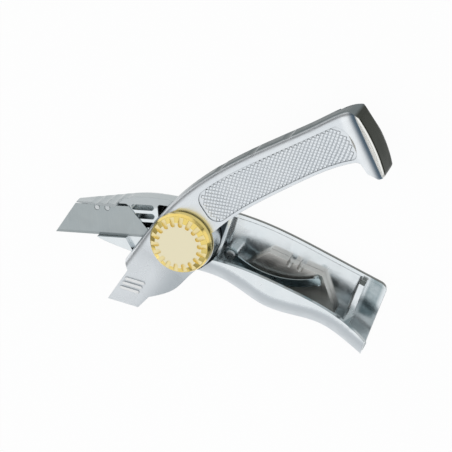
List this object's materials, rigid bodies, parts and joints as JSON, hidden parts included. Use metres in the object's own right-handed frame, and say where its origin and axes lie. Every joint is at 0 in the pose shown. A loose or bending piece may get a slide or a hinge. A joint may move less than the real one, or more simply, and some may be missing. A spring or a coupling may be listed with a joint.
{
  "type": "utility knife",
  "caption": "Swing-open utility knife: cast handle halves pivot on a notched clamp knob, with a trapezoid blade on pegs and spare blades under a spring clip in the handle.",
  "frame": {"origin": "on the pivot axis, in the plane of the rear shell's flat back, which the knife rests on", "axes": "+Z along the pivot towards the knob; +X along the working blade's cutting edge, from its outer tip towards the handle"},
  "size_m": [0.2051, 0.1525, 0.034],
  "materials": {
    "front_casting": "satin lacquered casting",
    "rear_casting": "satin casting, bright inside",
    "gold_knob": "satin face, bright rim",
    "plated_steel": "plated",
    "spring_steel": "bright spring steel",
    "bearing_bronze": "machined",
    "insert_brass": "machined",
    "blade_steel": "ground satin"
  },
  "bodies": {
    "rear": {"rear_shell": "rear_casting", "threaded_insert": "insert_brass", "locating_peg_1": "plated_steel", "locating_peg_2": "plated_steel", "working_blade": "blade_steel", "clip_screw": "plated_steel"},
    "front": {"front_shell": "front_casting", "pivot_sleeve": "bearing_bronze"},
    "washer": {"thrust_washer": "bearing_bronze"},
    "clamp": {"knob": "gold_knob", "clamp_screw": "plated_steel", "retaining_ring": "spring_steel"},
    "clip": {"blade_clip": "spring_steel"},
    "spare_blade_1": {"spare_blade_1": "blade_steel"},
    "spare_blade_2": {"spare_blade_2": "blade_steel"},
    "spare_blade_3": {"spare_blade_3": "blade_steel"},
    "spare_blade_4": {"spare_blade_4": "blade_steel"},
    "spare_blade_5": {"spare_blade_5": "blade_steel"},
    "spare_blade_6": {"spare_blade_6": "blade_steel"},
    "spare_blade_7": {"spare_blade_7": "blade_steel"},
    "spare_blade_8": {"spare_blade_8": "blade_steel"}
  },
  "joints": [
    {"name": "shell_swing", "type": "hinge", "parent": "rear", "child": "front", "pos_m": [0, 0, 0.02], "axis": [0, 0, 1], "range_deg": [-53, 0]},
    {"name": "knob_lift", "type": "slide", "parent": "rear", "child": "washer", "axis": [0, 0, 1], "range_m": [0, 0.00375]},
    {"name": "knob_turn", "type": "hinge", "parent": "washer", "child": "clamp", "pos_m": [0, 0, 0.03], "axis": [0, 0, 1], "range_deg": [0, 1080]},
    {"name": "clip_flex", "type": "hinge", "parent": "rear", "child": "clip", "pos_m": [0.02383, -0.01308, 0.01165], "axis": [-0.2585, -0.966, 0], "range_deg": [0, 5], "stiffness_Nm_per_rad": 0.3},
    {"name": "spare_blade_1_slide", "type": "slide", "parent": "rear", "child": "spare_blade_1", "axis": [0.3746, 0.9272, 0], "range_m": [0, 0.009]},
    {"name": "spare_blade_2_slide", "type": "slide", "parent": "rear", "child": "spare_blade_2", "axis": [0.3746, 0.9272, 0], "range_m": [0, 0.009]},
    {"name": "spare_blade_3_slide", "type": "slide", "parent": "rear", "child": "spare_blade_3", "axis": [0.3746, 0.9272, 0], "range_m": [0, 0.009]},
    {"name": "spare_blade_4_slide", "type": "slide", "parent": "rear", "child": "spare_blade_4", "axis": [0.3746, 0.9272, 0], "range_m": [0, 0.009]},
    {"name": "spare_blade_5_slide", "type": "slide", "parent": "rear", "child": "spare_blade_5", "axis": [0.3746, 0.9272, 0], "range_m": [0, 0.009]},
    {"name": "spare_blade_6_slide", "type": "slide", "parent": "rear", "child": "spare_blade_6", "axis": [0.3746, 0.9272, 0], "range_m": [0, 0.009]},
    {"name": "spare_blade_7_slide", "type": "slide", "parent": "rear", "child": "spare_blade_7", "axis": [0.3746, 0.9272, 0], "range_m": [0, 0.009]},
    {"name": "spare_blade_8_slide", "type": "slide", "parent": "rear", "child": "spare_blade_8", "axis": [0.3746, 0.9272, 0], "range_m": [0, 0.009]}
  ],
  "couplings": [
    {"joint": "knob_turn", "follows": "knob_lift", "rad_per_m": 5026.5}
  ]
}
